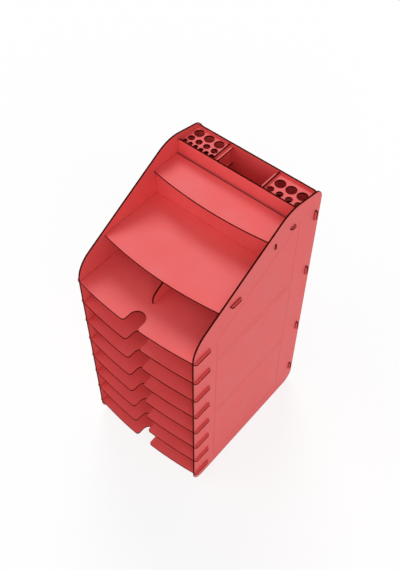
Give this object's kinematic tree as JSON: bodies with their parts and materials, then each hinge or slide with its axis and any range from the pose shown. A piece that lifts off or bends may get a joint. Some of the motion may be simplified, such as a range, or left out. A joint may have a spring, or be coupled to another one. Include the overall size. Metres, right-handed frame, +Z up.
{
  "type": "document tray tower",
  "caption": "Desk tower of red board with stacked pull-out trays, a sloping top with a deck and a step shelf, and a rear rack box with holes for pens and brushes.",
  "frame": {"origin": "centre of the bounding box on the table", "axes": "+Z up, -Y towards the trays' open fronts, +X to the right as seen from the front"},
  "size_m": [0.26, 0.3252, 0.5876],
  "materials": {
    "red_board": "satin red paint on the faces, burnt dark brown on the cut edges"
  },
  "bodies": {
    "carcass": {"side_panel_left": "red_board", "side_panel_right": "red_board", "back_panel": "red_board", "deck_shelf": "red_board", "bay_divider": "red_board", "riser_panel": "red_board", "step_shelf": "red_board", "pen_front": "red_board", "pen_divider_left": "red_board", "pen_divider_right": "red_board", "left_rack_upper": "red_board", "left_rack_lower": "red_board", "right_rack_upper": "red_board", "right_rack_lower": "red_board"},
    "pull_out_1": {"tray_1": "red_board"},
    "pull_out_2": {"tray_2": "red_board"},
    "pull_out_3": {"tray_3": "red_board"},
    "pull_out_4": {"tray_4": "red_board"},
    "pull_out_5": {"tray_5": "red_board"},
    "pull_out_6": {"tray_6": "red_board"},
    "pull_out_7": {"tray_7": "red_board"},
    "pull_out_8": {"tray_8": "red_board"}
  },
  "joints": [
    {"name": "tray_slide_1", "type": "slide", "parent": "carcass", "child": "pull_out_1", "axis": [0, -1, 0], "range_m": [0, 0.315]},
    {"name": "tray_slide_2", "type": "slide", "parent": "carcass", "child": "pull_out_2", "axis": [0, -1, 0], "range_m": [0, 0.315]},
    {"name": "tray_slide_3", "type": "slide", "parent": "carcass", "child": "pull_out_3", "axis": [0, -1, 0], "range_m": [0, 0.315]},
    {"name": "tray_slide_4", "type": "slide", "parent": "carcass", "child": "pull_out_4", "axis": [0, -1, 0], "range_m": [0, 0.315]},
    {"name": "tray_slide_5", "type": "slide", "parent": "carcass", "child": "pull_out_5", "axis": [0, -1, 0], "range_m": [0, 0.315]},
    {"name": "tray_slide_6", "type": "slide", "parent": "carcass", "child": "pull_out_6", "axis": [0, -1, 0], "range_m": [0, 0.315]},
    {"name": "tray_slide_7", "type": "slide", "parent": "carcass", "child": "pull_out_7", "axis": [0, -1, 0], "range_m": [0, 0.315]},
    {"name": "tray_slide_8", "type": "slide", "parent": "carcass", "child": "pull_out_8", "axis": [0, -1, 0], "range_m": [0, 0.315]}
  ]
}
